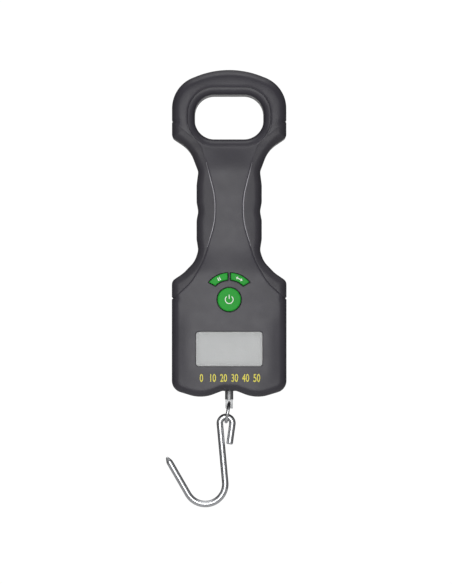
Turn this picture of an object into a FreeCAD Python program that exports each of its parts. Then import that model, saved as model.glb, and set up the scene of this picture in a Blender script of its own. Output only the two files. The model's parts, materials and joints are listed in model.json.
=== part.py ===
import FreeCAD, Part
import math
import os

# Digital hanging fish scale, in mm. X is to the right seen from the front, the front faces -Y, +Z is up.
# The origin is the middle of the handle opening's upper inner edge, on the plane where the covers meet.

V = FreeCAD.Vector

# Casing
FRONT_LOOP = -11.5      # front face beside the handle opening
FRONT_WAIST = -14.0     # front face at the finger grips
FRONT_BODY = -16.5      # front face round the display
BACK = 14.5             # flat back
WALL = 2.4
GRIP_WALL = 4.0         # skin and wall together under the rubber grips
GRIP_SKIN = 1.8
RIM_ROUND = 4.0
SIDE = 38.0             # half of the casing's width
WAIST = 21.65           # half of the width at the finger bumps
VALLEY = 20.5           # half of the width at the finger valleys
NOTCH_Z = (-17.7, -135.1)
NOTCH_DEPTH = 0.8
FAR = 60.0              # beyond every face of the casing

# Handle opening
OPEN_HALF = 22.85
OPEN_BOTTOM = -29.6
OPEN_ROUND = 13.0

# Display and buttons
WINDOW_Z = -168.5
WINDOW_W = 43.8
WINDOW_H = 22.6
WINDOW_Y = -16.3
ROUND_Z = -135.9        # centre of the round button and of the two arc buttons
ROUND_R = 7.75
ARC_IN = 13.0
ARC_OUT = 17.6
ARC_SIDE = 1.05         # from the middle plane to an arc button's inner end
ARC_FOOT = 9.1          # an arc button's inner corner, right of and above the round button's centre
ARC_SLANT = math.radians(29.0)
BUTTON_FACE = -17.4
BUTTON_GAP = 0.4
FLANGE = 0.75           # rim round the inner end of each button, wider than its hole

# Main board and what stands on it
BOARD_FRONT = -8.6
BOARD_BACK = -7.0
SWITCH_SPOTS = {"power": (0.0, ROUND_Z), "hold": (-8.4, -123.0), "unit": (8.4, -123.0)}

# Load cell and the steel parts that carry the load
CELL_HALF = 16.0
CELL_TOP = -147.0
CELL_BOTTOM = -187.0
BAR = 3.0
ROD_R = 2.75
THREAD_R = 2.5
TAB_Z = -202.5
ROD_END = -208.5
EYE_Z = -204.7          # cross hole of the rod
EYE_R = 1.4

# Link ring and hook
LINK_R = 6.45
LINK_WIRE = 1.1
LINK_TILT = math.radians(9.0)
HOOK_WIRE = 2.2
CURL_R = 4.2
HOOK_GAP = 0.05
SHANK_LEAN = math.radians(5.2)
SHANK = 39.2
BEND_R = 13.3
LEG_LEAN = math.radians(30.0)
LEG = 23.5
CURL_LEAN = math.radians(8.0)
CURL_END = 13.6

# Batteries and their door
CELL_R = 5.25
CELL_X = 5.6
CELL_Y = 6.9
BAY_HALF = 11.7
BAY_TOP = -48.0
BAY_BOTTOM = -100.0
DOOR_HALF = 13.3
HINGE_Y = 13.0
HINGE_Z = -47.4
HINGE_R = 1.5

# Screws: (x, z) of the six cover screws and of the four board screws
COVER_SPOTS = [(s * x, z) for x, z in [(30.4, -8.0), (33.0, -143.0), (32.0, -189.0)] for s in (-1, 1)]
BOARD_SPOTS = [(s * x, z) for x, z in [(22.5, -127.0), (23.2, -150.5)] for s in (-1, 1)]


def box(x0, x1, y0, y1, z0, z1):
    return Part.makeBox(x1 - x0, y1 - y0, z1 - z0, V(x0, y0, z0))


def rod_x(r, x0, x1, y, z):
    return Part.makeCylinder(r, x1 - x0, V(x0, y, z), V(1, 0, 0))


def rod_y(r, y0, y1, x, z):
    return Part.makeCylinder(r, y1 - y0, V(x, y0, z), V(0, 1, 0))


def rod_z(r, z0, z1, x=0.0, y=0.0):
    return Part.makeCylinder(r, z1 - z0, V(x, y, z0), V(0, 0, 1))


def join(shapes):
    return shapes[0].multiFuse(shapes[1:]) if len(shapes) > 1 else shapes[0]


def rounded_wire(corners, place):
    """A closed wire through corners (a, b, radius), each corner an arc; place turns (a, b) into a point."""
    arcs = []
    count = len(corners)
    for i, (a, b, radius) in enumerate(corners):
        before = corners[i - 1]
        after = corners[(i + 1) % count]
        corner = V(a, b, 0)
        if radius == 0:
            arcs.append((corner, None, corner))
            continue
        u = (V(before[0], before[1], 0) - corner).normalize()
        w = (V(after[0], after[1], 0) - corner).normalize()
        half = math.acos(u.dot(w)) / 2
        reach = radius / math.tan(half)
        middle = corner + (u + w).normalize() * (radius / math.sin(half) - radius)
        arcs.append((corner + u * reach, middle, corner + w * reach))
    edges = []
    for i, (start, middle, end) in enumerate(arcs):
        following = arcs[(i + 1) % count][0]
        if middle is not None:
            edges.append(Part.Arc(place(start), place(middle), place(end)).toShape())
        if (following - end).Length > 1e-6:
            edges.append(Part.LineSegment(place(end), place(following)).toShape())
    return Part.Wire(edges)


def plate(corners, y0, y1, grow=0.0):
    """A prism along Y of the rounded outline with corners (x, z, radius), grown or shrunk by an offset."""
    wire = rounded_wire(corners, lambda p: V(p.x, y0, p.y))
    if grow:
        wire = wire.makeOffset2D(grow)
    return Part.Face(wire).extrude(V(0, y1 - y0, 0))


def rectangle(x0, x1, z0, z1, radius):
    return [(x0, z1, radius), (x1, z1, radius), (x1, z0, radius), (x0, z0, radius)]


def mirrored(corners):
    """The whole outline from its right half; a corner on the middle plane is kept once."""
    return corners + [(-x, z, r) for x, z, r in reversed(corners) if x > 0]


# ---------------------------------------------------------------- casing

OUTLINE = mirrored([
    (0, 20.9, 58), (SIDE, 6.1, 22),
    (SIDE, -28.2, 3.5), (26.2, -36.1, 20),
    (VALLEY, -51, 6), (WAIST, -60, 14), (WAIST, -71.5, 10),
    (VALLEY, -77.5, 8), (WAIST, -83.5, 10), (WAIST, -96, 10), (VALLEY, -103.2, 8),
    (22.74, -110.5, 16), (30.3, -118.4, 20), (SIDE, -123.6, 4.5),
    (SIDE, -195.6, 8), (18, -201.6, 24), (4.2, -196.2, 9),
])
OPENING = rectangle(-OPEN_HALF, OPEN_HALF, OPEN_BOTTOM, 0.0, OPEN_ROUND)
# Edge of the right grip: down the front or back face, then out past the casing's side
FRONT_SEAM = [(41, -14.6, 0), (18.3, -33, 14), (9.4, -68, 50), (9.4, -84, 50), (17, -110, 50),
              (25.5, -124.5, 30), (41, -138.5, 0)]
BACK_SEAM = [(41, -14.0, 0), (21.5, -33, 14), (16.0, -66, 60), (16.0, -86, 60), (20.5, -109, 50),
             (27, -124.5, 30), (41, -139.0, 0)]


def depth_prism(inset):
    """The casing's side view as a prism along X, moved in from the front and the back by an inset."""
    loop, waist, body = FRONT_LOOP + inset, FRONT_WAIST + inset, FRONT_BODY + inset
    back = BACK - inset
    corners = [(loop, 40, 0), (loop, -30, 60), (waist, -52, 60), (waist, -98, 60), (body, -124, 60),
               (body, -230, 0), (back, -230, 0), (back, 40, 0)]
    wire = rounded_wire(corners, lambda p: V(-FAR, p.x, p.y))
    return Part.Face(wire).extrude(V(2 * FAR, 0, 0))


def rim_edges(shape, side):
    """Edges where a wall along Y meets the front skin (side -1) or the back (side 1)."""
    found = []
    for edge in shape.Edges:
        if edge.CenterOfMass.y * side <= 0:
            continue
        point = edge.valueAt((edge.FirstParameter + edge.LastParameter) / 2)
        slopes = []
        for face in shape.ancestorsOfType(edge, Part.Face):
            slopes.append(abs(face.normalAt(*face.Surface.parameter(point)).y))
        if len(slopes) == 2 and min(slopes) < 0.01 and max(slopes) > 0.9:
            found.append(edge)
    return found


def notches():
    cuts = []
    for z in NOTCH_Z:
        for s in (-1, 1):
            tip = s * (SIDE - NOTCH_DEPTH)
            corners = [V(tip, -FAR, z), V(s * (SIDE + 1), -FAR, z + 2), V(s * (SIDE + 1), -FAR, z - 2)]
            cuts.append(Part.Face(Part.makePolygon(corners + corners[:1])).extrude(V(0, 2 * FAR, 0)))
    return cuts


def make_outer():
    solid = plate(OUTLINE, -FAR, FAR).common(depth_prism(0.0)).Solids[0]
    solid = solid.cut(plate(OPENING, -FAR, FAR)).Solids[0]
    solid = solid.makeFillet(RIM_ROUND, rim_edges(solid, 1))
    solid = solid.makeFillet(RIM_ROUND, rim_edges(solid, -1))
    return solid.cut(notches()).Solids[0]


def core(inset):
    """What is left of the casing's block, without its opening, after taking an inset off every side."""
    return plate(OUTLINE, -FAR, FAR, -inset).common(depth_prism(inset))


def grip_zone(side, grow):
    """Where the right (side 1) or left (side -1) grip lies, seen from the front; grow widens the zone."""
    halves = []
    for seam, y0, y1 in ((FRONT_SEAM, -FAR, 0.0), (BACK_SEAM, 0.0, FAR)):
        corners = [(side * (x - grow), z, r) for x, z, r in seam]
        halves.append(plate(corners, y0, y1))
    return join(halves)


OUTER = make_outer()


def make_grip(side):
    skin = OUTER.common(grip_zone(side, 0.0)).cut(core(GRIP_SKIN))
    return max(skin.Solids, key=lambda s: s.Volume)


def make_cavity():
    room = core(WALL).cut(plate(OPENING, -FAR, FAR, WALL))
    for side in (-1, 1):
        room = room.cut(grip_zone(side, 2.0).cut(core(GRIP_WALL)))
    return room


GRIPS = {"left_grip": make_grip(-1), "right_grip": make_grip(1)}
CAVITY = make_cavity()


def cover_half(y0, y1):
    return OUTER.cut(CAVITY).common(box(-FAR, FAR, y0, y1, -230, 40))


def arc_button(side, y0, y1, grow=0.0):
    """A ring sector about the round button's centre, between two straight ends."""
    ring = rod_y(ARC_OUT + grow, y0, y1, 0, ROUND_Z).cut(rod_y(ARC_IN - grow, y0, y1, 0, ROUND_Z))
    inner = ARC_SIDE - grow
    slope = ARC_SLANT
    lift = grow / math.cos(slope)
    foot = V(ARC_FOOT, y0, ROUND_Z + ARC_FOOT)
    run = 14.0
    top = V(foot.x + run * math.cos(slope), y0, foot.z + run * math.sin(slope))
    corners = [V(inner, y0, foot.z - lift - ARC_FOOT), V(inner, y0, ROUND_Z + 30),
               V(top.x, y0, ROUND_Z + 30), V(top.x, y0, top.z - lift), V(foot.x, y0, foot.z - lift)]
    wedge = Part.Face(Part.makePolygon(corners + corners[:1])).extrude(V(0, y1 - y0, 0))
    sector = ring.common(wedge)
    if side < 0:
        sector = sector.mirror(V(0, 0, 0), V(1, 0, 0))
    return max(sector.Solids, key=lambda s: s.Volume)


def button_face(name, y0, y1, grow=0.0):
    if name == "power":
        return rod_y(ROUND_R + grow, y0, y1, 0, ROUND_Z)
    return arc_button(-1 if name == "hold" else 1, y0, y1, grow)


def make_front_cover():
    posts = [rod_y(3.0, FRONT_BODY + 3.0 if z < -100 else FRONT_LOOP + 2.0, 0.0, x, z)
             for x, z in COVER_SPOTS]
    posts += [rod_y(2.4, FRONT_BODY + 2.0, BOARD_FRONT, x, z) for x, z in BOARD_SPOTS]
    cover = join([cover_half(-FAR, 0.0)] + posts)
    inner_face = FRONT_BODY + WALL
    window = rectangle(-WINDOW_W / 2, WINDOW_W / 2, WINDOW_Z - WINDOW_H / 2, WINDOW_Z + WINDOW_H / 2, 2.0)
    cuts = [plate(window, -FAR, -14.7, 0.15)]
    cuts.append(plate(rectangle(-20, 20, WINDOW_Z - 9.5, WINDOW_Z + 9.5, 1.0), -FAR, -10))
    for name in SWITCH_SPOTS:
        cuts.append(button_face(name, -FAR, inner_face + 0.1, BUTTON_GAP))
        cuts.append(button_face(name, inner_face, -10.0, FLANGE + 0.3))
    cuts += [rod_y(1.0, -8.0, 1.0, x, z) for x, z in COVER_SPOTS]
    cuts += [rod_y(0.8, -13.0, BOARD_FRONT + 1.0, x, z) for x, z in BOARD_SPOTS]
    cuts.append(rod_z(4.2, -210, -190))
    cuts += list(GRIPS.values())
    return max(cover.cut(cuts).Solids, key=lambda s: s.Volume)


def make_rear_cover():
    posts = [rod_y(3.0, 0.0, BACK - 1.0, x, z) for x, z in COVER_SPOTS]
    ledges = [box(*sorted((s * 17.5, s * 27.0)), 0.2, BACK - 1.0, -151, CELL_TOP) for s in (-1, 1)]
    bay = box(-BAY_HALF - 1.2, BAY_HALF + 1.2, 0.2, BACK - 1.0, BAY_BOTTOM - 1.2, BAY_TOP + 1.2)
    cover = join([cover_half(0.0, FAR), bay] + posts + ledges)
    cuts = [box(-BAY_HALF, BAY_HALF, 1.4, FAR, BAY_BOTTOM, BAY_TOP)]
    # seat of the door, its hinge groove and pin holes
    cuts.append(box(-DOOR_HALF - 0.3, DOOR_HALF + 0.3, BACK - 2.2, FAR, BAY_BOTTOM - 1.3, HINGE_Z))
    cuts.append(rod_x(HINGE_R + 0.3, -DOOR_HALF - 0.3, DOOR_HALF + 0.3, HINGE_Y, HINGE_Z))
    cuts.append(box(-DOOR_HALF - 0.3, DOOR_HALF + 0.3, HINGE_Y, FAR,
                    HINGE_Z - 0.1, HINGE_Z + HINGE_R + 0.3))
    cuts.append(rod_x(0.9, -15.1, 15.1, HINGE_Y, HINGE_Z))
    # slots for the contact tails, screw holes, and the load rod's guide
    cuts += [box(x - 0.8, x + 0.8, 0.0, 1.6, BAY_TOP - 0.8, BAY_TOP - 0.1) for x in (-4.0, 4.0)]
    for x, z in COVER_SPOTS:
        cuts.append(rod_y(1.3, -1.0, FAR, x, z))
        cuts.append(rod_y(2.3, 8.0, FAR, x, z))
    cuts.append(rod_z(4.2, -210, -190))
    cuts += list(GRIPS.values())
    return max(cover.cut(cuts).Solids, key=lambda s: s.Volume)


def screw(length, shank_r, head_r, head_h, x, z, seat, turn):
    """A cross-head screw along Y, its head standing on the plane y = seat; turn is the way it faces."""
    shank = rod_y(shank_r, *sorted((seat - turn * length, seat)), x, z)
    head = rod_y(head_r, *sorted((seat, seat + turn * head_h)), x, z)
    solid = shank.fuse(head)
    top = seat + turn * head_h
    for w, h in ((head_r * 1.2, 0.5), (0.5, head_r * 1.2)):
        y0, y1 = sorted((top - turn * 0.8, top + turn * 0.5))
        solid = solid.cut(box(x - w / 2, x + w / 2, y0, y1, z - h / 2, z + h / 2))
    return solid


def make_cover_screws():
    return Part.Compound([screw(14.0, 1.0, 2.0, 1.5, x, z, 8.0, 1) for x, z in COVER_SPOTS])


def make_board_screws():
    return Part.Compound([screw(4.4, 0.8, 1.7, 1.1, x, z, BOARD_BACK, 1) for x, z in BOARD_SPOTS])


# ---------------------------------------------------------------- display and buttons

def make_window():
    corners = rectangle(-WINDOW_W / 2, WINDOW_W / 2, WINDOW_Z - WINDOW_H / 2, WINDOW_Z + WINDOW_H / 2, 2.0)
    return plate(corners, WINDOW_Y, -14.9)


def make_window_tape():
    x, z = WINDOW_W / 2 - 0.15, WINDOW_H / 2 - 0.15
    ring = plate(rectangle(-x, x, WINDOW_Z - z, WINDOW_Z + z, 1.5), -14.9, -14.7)
    return ring.cut(plate(rectangle(-20.4, 20.4, WINDOW_Z - 9.9, WINDOW_Z + 9.9, 1.0), -16, -14))


def make_lcd_panel():
    glass = box(-21.5, 21.5, -13.8, -12.2, WINDOW_Z - 11.0, WINDOW_Z + 11.0)
    rear = box(-21.5, 21.5, -12.2, -11.1, WINDOW_Z - 11.0, WINDOW_Z + 11.0)
    return glass.fuse(rear)


def make_lcd_reflector():
    return box(-20, 20, -11.1, -10.8, WINDOW_Z - 8.4, WINDOW_Z + 8.4)


def make_lcd_holder():
    frame = plate(rectangle(-24, 24, WINDOW_Z - 13.2, WINDOW_Z + 13.2, 1.5), -14.0, BOARD_FRONT)
    return frame.cut(box(-21.7, 21.7, -15, 0, WINDOW_Z - 11.2, WINDOW_Z + 11.2))


def make_zebra_strips():
    return Part.Compound([box(-19, 19, -11.1, BOARD_FRONT, WINDOW_Z + z - 0.6, WINDOW_Z + z + 0.6)
                          for z in (-9.6, 9.6)])


def make_main_board():
    corners = [(-19, -118.6, 1), (19, -118.6, 1), (25.5, -125, 1), (25.5, -184, 2), (-25.5, -184, 2),
               (-25.5, -125, 1)]
    board = plate(corners, BOARD_FRONT, BOARD_BACK)
    return board.cut([rod_y(0.8, -9, -6, x, z) for x, z in BOARD_SPOTS])


def make_chip_parts():
    """The controller under its round blob, the gauge amplifier and small parts, on the board's back."""
    ball = Part.makeSphere(14.0, V(0, BOARD_BACK - 12.2, -131.5))
    blob = ball.common(box(-10, 10, BOARD_BACK, 0, -142, -120))
    parts = [blob, box(10, 15, BOARD_BACK, BOARD_BACK + 1.6, -141, -135)]
    parts += [box(-14.6 + 2.6 * i, -13.2 + 2.6 * i, BOARD_BACK, BOARD_BACK + 0.8, -143, -140)
              for i in range(4)]
    parts.append(rod_y(2.5, BOARD_BACK, BOARD_BACK + 4.0, -19.0, -134.0))
    return Part.Compound(parts)


def make_button(name):
    x, z = SWITCH_SPOTS[name]
    cap = button_face(name, BUTTON_FACE, -13.9)
    flange = button_face(name, -13.9, -13.1, FLANGE)
    stem = rod_y(1.5, -13.1, -12.5, x, z)
    return cap.fuse(flange).fuse(stem)


def make_switch(name):
    """A small push switch, with its stub in front."""
    x, z = SWITCH_SPOTS[name]
    body = box(x - 3, x + 3, -11.3, BOARD_FRONT, z - 3, z + 3)
    return body.fuse(rod_y(1.6, -11.8, -11.3, x, z))


# ---------------------------------------------------------------- load path

def make_load_cell():
    block = box(-CELL_HALF, CELL_HALF, -6, 6, CELL_BOTTOM, CELL_TOP)
    cuts = [box(-CELL_HALF - 1, 10, -7, 7, -157, -154), box(-10, CELL_HALF + 1, -7, 7, -179, -171)]
    cuts += [rod_y(4.0, -7, 7, x, -164) for x in (-5, 5)]
    cuts.append(box(-5, 5, -7, 7, -165.5, -162.5))
    cuts.append(rod_z(THREAD_R, -155, CELL_TOP + 1))
    cuts.append(rod_z(THREAD_R + 0.1, CELL_BOTTOM - 1, -178))
    return block.cut(cuts)


def make_strain_gauges():
    plates = [box(x - 2.5, x + 2.5, -2, 2, -157, -156.9) for x in (-5, 5)]
    plates += [box(x - 2.5, x + 2.5, -2, 2, -171.1, -171) for x in (-5, 5)]
    return Part.Compound(plates)


def make_gauge_potting():
    """Soft sealing pads over the strain gauges."""
    pads = [box(x - 3.5, x + 3.5, -3, 3, -157, -156.2) for x in (-5, 5)]
    pads += [box(x - 3.5, x + 3.5, -3, 3, -171.8, -171) for x in (-5, 5)]
    gauges = make_strain_gauges()
    return Part.Compound([pad.cut(gauges) for pad in pads])


def make_anchor_bar():
    bar = box(-26.5, 26.5, -6, 6.5, CELL_TOP, CELL_TOP + BAR)
    return bar.cut(rod_z(THREAD_R, CELL_TOP - 1, CELL_TOP + BAR + 1))


def make_anchor_washer():
    top = CELL_TOP + BAR
    return rod_z(5.0, top, top + 1.0).cut(rod_z(THREAD_R, top - 1, top + 2))


def make_anchor_bolt():
    seat = CELL_TOP + BAR + 1.0
    bolt = rod_z(THREAD_R, -153.8, seat).fuse(rod_z(4.2, seat, seat + 3.5))
    socket = Part.Face(Part.makePolygon([V(2.3 * math.cos(math.radians(60 * i)),
                                           2.3 * math.sin(math.radians(60 * i)), seat + 1.5)
                                         for i in range(7)])).extrude(V(0, 0, 5))
    return bolt.cut(socket)


def make_load_rod():
    """The swivelling rod: threaded top, round shaft, and a flat tab with a cross hole."""
    rod = rod_z(THREAD_R, -187.5, -173.5).fuse(rod_z(ROD_R, TAB_Z, -187.5))
    tab = rod_z(ROD_R, ROD_END, TAB_Z).common(box(-2.5, 2.5, -1.3, 1.3, ROD_END, TAB_Z))
    rod = rod.fuse(tab)
    return rod.cut(rod_y(EYE_R, -5, 5, 0, EYE_Z))


def make_rod_nut():
    corners = [V(4.6 * math.cos(math.radians(60 * i)), 4.6 * math.sin(math.radians(60 * i)), -178.0)
               for i in range(7)]
    nut = Part.Face(Part.makePolygon(corners)).extrude(V(0, 0, 4.0))
    return nut.cut(rod_z(THREAD_R, -180, -170))


def make_thrust_washer():
    return rod_z(4.8, -178.97, -178.0).cut(rod_z(THREAD_R, -180, -170))


def make_rod_guide():
    guide = rod_z(4.2, -196.8, -192.4).fuse(rod_z(6.0, -193.7, -192.4))
    return guide.cut(rod_z(ROD_R + 0.2, -210, -190))


# ---------------------------------------------------------------- link ring and hook

DOWN = V(-math.sin(LINK_TILT), 0, -math.cos(LINK_TILT))
ACROSS = V(math.cos(LINK_TILT), 0, -math.sin(LINK_TILT))
EYE = V(0, 0, EYE_Z)
LINK_LOW = EYE + DOWN * (2 * LINK_R)


def make_link():
    return Part.makeTorus(LINK_R, LINK_WIRE, EYE + DOWN * LINK_R, ACROSS)


def heading(lean):
    """A unit vector downwards in the XZ plane, leaning to +X by an angle, and its right-hand normal."""
    return V(math.sin(lean), 0, -math.cos(lean)), V(math.cos(lean), 0, math.sin(lean))


def hook_path():
    """Centre line of the hook: short end, curl over the link, shank, main bend and straight leg."""
    curl = LINK_LOW + V(0, 0, HOOK_WIRE + LINK_WIRE + HOOK_GAP - CURL_R)
    end_way, end_side = heading(-CURL_LEAN)
    way, side = heading(SHANK_LEAN)
    curl_right = curl + end_side * CURL_R
    curl_left = curl - side * CURL_R
    shank_end = curl_left + way * SHANK
    bend = shank_end - side * BEND_R
    leg_way = V(-math.sin(LEG_LEAN), 0, math.cos(LEG_LEAN))
    leg_start = bend + V(-math.cos(LEG_LEAN), 0, -math.sin(LEG_LEAN)) * BEND_R
    points = {
        "end": curl_right + end_way * CURL_END, "curl_right": curl_right,
        "curl_top": curl + V(0, 0, CURL_R), "curl_left": curl_left,
        "shank_end": shank_end, "bend_low": bend + V(0, 0, -BEND_R),
        "leg_start": leg_start, "tip": leg_start + leg_way * LEG, "leg_way": leg_way,
    }
    return points


def make_hook():
    p = hook_path()
    path = Part.Wire([
        Part.LineSegment(p["end"], p["curl_right"]).toShape(),
        Part.Arc(p["curl_right"], p["curl_top"], p["curl_left"]).toShape(),
        Part.LineSegment(p["curl_left"], p["shank_end"]).toShape(),
        Part.Arc(p["shank_end"], p["bend_low"], p["leg_start"]).toShape(),
        Part.LineSegment(p["leg_start"], p["tip"]).toShape(),
    ])
    start_way = p["curl_right"] - p["end"]
    ring = Part.Wire(Part.makeCircle(HOOK_WIRE, p["end"], start_way))
    bar = path.makePipeShell([ring], True, True)
    # The leg ends in a blunt cone.
    point = Part.makeCone(HOOK_WIRE, 0.7, 5.0, p["tip"] - p["leg_way"] * 0.01, p["leg_way"])
    return bar.fuse(point)


# ---------------------------------------------------------------- batteries

def make_battery(x, nub_up):
    top, bottom = (BAY_TOP - 0.6, BAY_TOP - 45.1) if nub_up else (BAY_BOTTOM + 45.1, BAY_BOTTOM + 0.6)
    if nub_up:
        return rod_z(CELL_R, bottom, top - 0.8, x, CELL_Y).fuse(rod_z(1.9, top - 0.8, top, x, CELL_Y))
    return rod_z(CELL_R, bottom + 0.8, top, x, CELL_Y).fuse(rod_z(1.9, bottom, bottom + 0.8, x, CELL_Y))


def make_spring(x, z, height):
    """A battery spring as a pleated sleeve, with one pleat for each turn of the wire."""
    turns = 4
    wire = 0.5
    step = height / (2 * turns)
    outside = [V(3.4 if i % 2 else 2.7, 0, z + i * step) for i in range(2 * turns + 1)]
    inside = [p - V(wire, 0, 0) for p in reversed(outside)]
    profile = outside + inside
    sleeve = Part.Face(Part.makePolygon(profile + profile[:1])).revolve(V(0, 0, 0), V(0, 0, 1), 360)
    sleeve.translate(V(x, CELL_Y, 0))
    return sleeve


def make_battery_springs():
    low = make_spring(-CELL_X, BAY_BOTTOM + 0.35, BAY_TOP - 45.15 - (BAY_BOTTOM + 0.35))
    high = make_spring(CELL_X, BAY_BOTTOM + 45.15, BAY_TOP - 0.65 - (BAY_BOTTOM + 45.15))
    return Part.Compound([low, high])


def make_battery_contacts():
    contacts = []
    for s in (-1, 1):
        leaf = box(*sorted((s * 1.2, s * 10.0)), 1.4, 11.5, BAY_TOP - 0.55, BAY_TOP - 0.25)
        tail = box(s * 4 - 0.6, s * 4 + 0.6, -0.9, 1.6, BAY_TOP - 0.55, BAY_TOP - 0.25)
        contacts.append(leaf.fuse(tail))
    return Part.Compound(contacts)


def make_link_plate():
    return box(-10, 10, 1.4, 11.5, BAY_BOTTOM, BAY_BOTTOM + 0.3)


def make_battery_door():
    door = box(-DOOR_HALF, DOOR_HALF, BACK - 2.0, BACK, BAY_BOTTOM - 1.0, HINGE_Z)
    barrel = rod_x(HINGE_R, -DOOR_HALF, DOOR_HALF, HINGE_Y, HINGE_Z)
    parts = [door, barrel, rod_x(0.8, -14.9, 14.9, HINGE_Y, HINGE_Z)]
    grooves = [box(-7, 7, BACK - 0.5, FAR, z, z + 1.0) for z in (-96, -94, -92, -90)]
    return join(parts).cut(grooves)


def round_run(points, radius, bends):
    """A wire that is held along its way: straight runs joined by tangent arcs."""
    edges = []
    last = points[0]
    for a, corner, b, bend in zip(points, points[1:], points[2:], bends):
        u = (a - corner).normalize()
        w = (b - corner).normalize()
        half = math.acos(u.dot(w)) / 2
        reach = bend / math.tan(half)
        middle = corner + (u + w).normalize() * (bend / math.sin(half) - bend)
        edges.append(Part.LineSegment(last, corner + u * reach).toShape())
        edges.append(Part.Arc(corner + u * reach, middle, corner + w * reach).toShape())
        last = corner + w * reach
    edges.append(Part.LineSegment(last, points[-1]).toShape())
    ring = Part.Wire(Part.makeCircle(radius, points[0], points[1] - points[0]))
    return Part.Wire(edges).makePipeShell([ring], True, True)


def battery_wire(side):
    x = side * 4.0
    return round_run([V(x, -0.9, BAY_TOP - 0.4), V(x, -4.2, BAY_TOP - 1.4), V(x, -4.4, -121),
                      V(x, BOARD_BACK, -121)], 0.6, (1.5, 1.5))


def make_gauge_cable():
    return round_run([V(-9.2, -4.6, -155.4), V(-29.0, -4.6, -155.4), V(-29.0, -4.6, -137.0),
                      V(-21.0, -4.6, -131.0), V(-21.0, BOARD_BACK, -131.0)], 0.5, (4.0, 4.0, 1.5))


# ---------------------------------------------------------------- files

def make_parts():
    parts = {
        "front_cover": make_front_cover(),
        "rear_cover": make_rear_cover(),
        "cover_screws": make_cover_screws(),
        "board_screws": make_board_screws(),
        "lcd_window": make_window(),
        "window_tape": make_window_tape(),
        "lcd_panel": make_lcd_panel(),
        "lcd_reflector": make_lcd_reflector(),
        "lcd_holder": make_lcd_holder(),
        "zebra_strips": make_zebra_strips(),
        "main_board": make_main_board(),
        "chip_parts": make_chip_parts(),
        "load_cell": make_load_cell(),
        "strain_gauges": make_strain_gauges(),
        "gauge_potting": make_gauge_potting(),
        "anchor_bar": make_anchor_bar(),
        "anchor_washer": make_anchor_washer(),
        "anchor_bolt": make_anchor_bolt(),
        "load_rod": make_load_rod(),
        "rod_nut": make_rod_nut(),
        "thrust_washer": make_thrust_washer(),
        "rod_guide": make_rod_guide(),
        "link_ring": make_link(),
        "hook": make_hook(),
        "battery_left": make_battery(-CELL_X, True),
        "battery_right": make_battery(CELL_X, False),
        "battery_springs": make_battery_springs(),
        "battery_contacts": make_battery_contacts(),
        "battery_link_plate": make_link_plate(),
        "battery_door": make_battery_door(),
        "battery_wire_red": battery_wire(-1),
        "battery_wire_black": battery_wire(1),
        "gauge_cable": make_gauge_cable(),
    }
    parts.update(GRIPS)
    for name in SWITCH_SPOTS:
        parts[name + "_button"] = make_button(name)
        parts[name + "_switch"] = make_switch(name)
    return parts


os.makedirs("parts", exist_ok=True)
for node, shape in make_parts().items():
    print(node, "solids", len(shape.Solids), "volume", round(shape.Volume, 1), "valid", shape.isValid())
    shape.exportStep("parts/" + node + ".step")
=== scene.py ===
import json
import math

import bmesh
import bpy
import numpy as np
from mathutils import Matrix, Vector
from mathutils.geometry import delaunay_2d_cdt


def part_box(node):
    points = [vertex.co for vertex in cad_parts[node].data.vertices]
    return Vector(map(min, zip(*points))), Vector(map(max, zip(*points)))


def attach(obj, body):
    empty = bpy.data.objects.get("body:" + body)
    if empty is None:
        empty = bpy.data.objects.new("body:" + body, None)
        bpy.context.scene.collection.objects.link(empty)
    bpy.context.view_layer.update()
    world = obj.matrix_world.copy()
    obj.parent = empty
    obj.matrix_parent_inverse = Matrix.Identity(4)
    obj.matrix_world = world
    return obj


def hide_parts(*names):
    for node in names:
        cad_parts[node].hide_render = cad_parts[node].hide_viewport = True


# Looks of the hanging scale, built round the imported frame. Outlines are in mm, meshes in metres.

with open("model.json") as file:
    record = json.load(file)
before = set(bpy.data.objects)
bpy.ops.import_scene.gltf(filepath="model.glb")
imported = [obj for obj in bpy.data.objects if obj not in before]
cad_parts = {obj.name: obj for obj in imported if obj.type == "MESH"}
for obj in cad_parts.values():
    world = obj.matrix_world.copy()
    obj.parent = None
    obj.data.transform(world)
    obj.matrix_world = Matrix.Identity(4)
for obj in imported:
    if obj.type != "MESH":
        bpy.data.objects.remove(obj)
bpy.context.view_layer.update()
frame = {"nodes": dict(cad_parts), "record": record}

MM = 0.001

# ---------------------------------------------------------------- sizes

SIDE = 38.0
WAIST = 21.65
VALLEY = 20.5
NOTCH_Z = (-17.7, -135.1)
NOTCH_DEPTH = 0.8
OPENING_HALF = 22.85
OPENING_BOTTOM = -29.6
OPENING_ROUND = 13.0
BUTTON_Z = -135.9
ARC_IN = 13.0
ARC_OUT = 17.6
ARC_SIDE = 1.05
ARC_FOOT = 9.1
ARC_SLANT = math.radians(29.0)
BUTTON_GAP = 0.4
RIM_FRONT = 5.0
RIM_BACK = 4.0
BAND = 4.7              # rounded band that falls into the handle opening
SHEET = 1.5             # wall thickness of the shells
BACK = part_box("rear_cover")[1][1] / MM
WINDOW_MIDDLE = (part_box("lcd_window")[0][2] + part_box("lcd_window")[1][2]) / 2 / MM


# ---------------------------------------------------------------- outlines

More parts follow.
